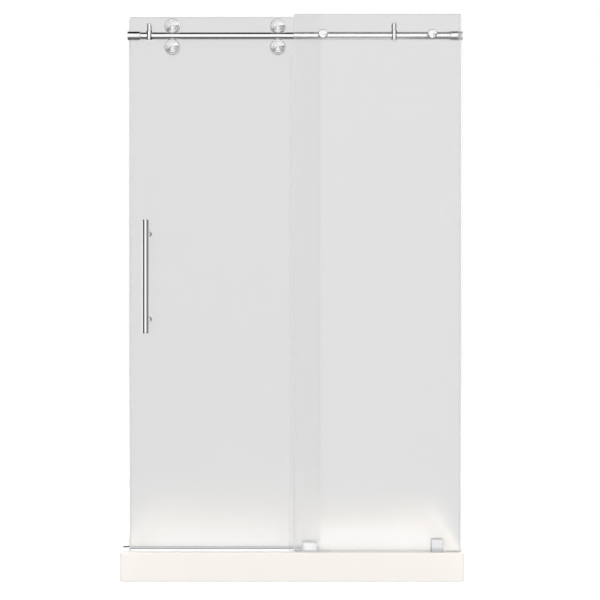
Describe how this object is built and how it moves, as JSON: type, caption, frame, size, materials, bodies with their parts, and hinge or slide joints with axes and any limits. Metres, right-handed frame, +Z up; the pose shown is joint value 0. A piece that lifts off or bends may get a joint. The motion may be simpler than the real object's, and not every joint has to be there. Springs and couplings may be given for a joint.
{
  "type": "sliding shower door",
  "caption": "Frameless frosted-glass sliding shower door on a round chrome rail, with a fixed panel, bar handle and low cream shower base.",
  "frame": {"origin": "middle of the shower base's underside, on the floor", "axes": "+X along the wall-to-wall length, to the right seen from the room; +Y from the room into the shower; +Z up"},
  "size_m": [1.216, 0.813, 2.0016],
  "materials": {
    "cast_base": "smooth satin gloss cream",
    "frosted_glass": "acid-etched, frosted, toughened",
    "polished_chrome": "mirror polished",
    "satin_steel": "turned and brushed satin",
    "steel_fasteners": "plain machined",
    "bearing_steel": "ground bright",
    "nylon": "natural nylon",
    "clear_vinyl": "clear, slightly hazy",
    "clear_rubber": "translucent, soft"
  },
  "bodies": {
    "enclosure": {"bottom_guide": "satin_steel", "bottom_guide_liner": "nylon", "bottom_guide_screws": "steel_fasteners", "clamp_body": "satin_steel", "clamp_floor_screws": "steel_fasteners", "clamp_grub_screws": "steel_fasteners", "clamp_pad": "clear_vinyl", "connector_caps": "satin_steel", "connector_gaskets": "clear_vinyl", "connector_sleeves": "nylon", "connector_spacers": "satin_steel", "door_stop_left": "polished_chrome", "door_stop_right": "polished_chrome", "drain_body": "polished_chrome", "drain_screws": "steel_fasteners", "drain_strainer": "polished_chrome", "fixed_panel": "frosted_glass", "guide_rail": "polished_chrome", "panel_edge_seal": "clear_vinyl", "panel_wall_seal": "clear_vinyl", "rail_inserts": "steel_fasteners", "rail_socket_left": "polished_chrome", "rail_socket_right": "polished_chrome", "setting_blocks": "clear_vinyl", "shower_base": "cast_base", "socket_grub_screws": "steel_fasteners", "stop_bumpers": "clear_rubber", "stop_grub_screws": "steel_fasteners", "threshold_strip": "polished_chrome"},
    "sliding_door": {"door_panel": "frosted_glass", "door_wall_seal": "clear_vinyl", "wheel_axles": "satin_steel", "axle_screws": "steel_fasteners", "roller_gaskets": "clear_vinyl", "roller_back_caps": "polished_chrome", "bearing_inner_races": "bearing_steel", "bearing_balls": "bearing_steel", "handle_bar": "polished_chrome", "handle_posts": "polished_chrome", "handle_rosettes": "polished_chrome", "handle_gaskets": "clear_vinyl", "handle_bolts": "steel_fasteners", "handle_back_caps": "polished_chrome"},
    "roller_left": {"wheel_tyre_upper_left": "nylon", "wheel_hub_upper_left": "satin_steel", "wheel_cover_upper_left": "satin_steel", "bearing_outer_race_upper_left": "bearing_steel"},
    "roller_right": {"wheel_tyre_upper_right": "nylon", "wheel_hub_upper_right": "satin_steel", "wheel_cover_upper_right": "satin_steel", "bearing_outer_race_upper_right": "bearing_steel"},
    "antilift_left": {"wheel_tyre_lower_left": "nylon", "wheel_hub_lower_left": "satin_steel", "wheel_cover_lower_left": "satin_steel", "bearing_outer_race_lower_left": "bearing_steel"},
    "antilift_right": {"wheel_tyre_lower_right": "nylon", "wheel_hub_lower_right": "satin_steel", "wheel_cover_lower_right": "satin_steel", "bearing_outer_race_lower_right": "bearing_steel"}
  },
  "joints": [
    {"name": "door_slide", "type": "slide", "parent": "enclosure", "child": "sliding_door", "axis": [1, 0, 0], "range_m": [0, 0.378]},
    {"name": "roller_left_spin", "type": "hinge", "parent": "sliding_door", "child": "roller_left", "pos_m": [-0.427, -0.3575, 1.9654], "axis": [0, 1, 0], "range_deg": [-20, 930]},
    {"name": "roller_right_spin", "type": "hinge", "parent": "sliding_door", "child": "roller_right", "pos_m": [-0.0505, -0.3575, 1.9654], "axis": [0, 1, 0], "range_deg": [-20, 930]},
    {"name": "antilift_left_spin", "type": "hinge", "parent": "sliding_door", "child": "antilift_left", "pos_m": [-0.427, -0.3575, 1.8921], "axis": [0, 1, 0], "continuous": true},
    {"name": "antilift_right_spin", "type": "hinge", "parent": "sliding_door", "child": "antilift_right", "pos_m": [-0.0505, -0.3575, 1.8921], "axis": [0, 1, 0], "continuous": true}
  ],
  "couplings": [
    {"joint": "roller_left_spin", "follows": "door_slide", "rad_per_m": 42.017},
    {"joint": "roller_right_spin", "follows": "door_slide", "rad_per_m": 42.017}
  ]
}
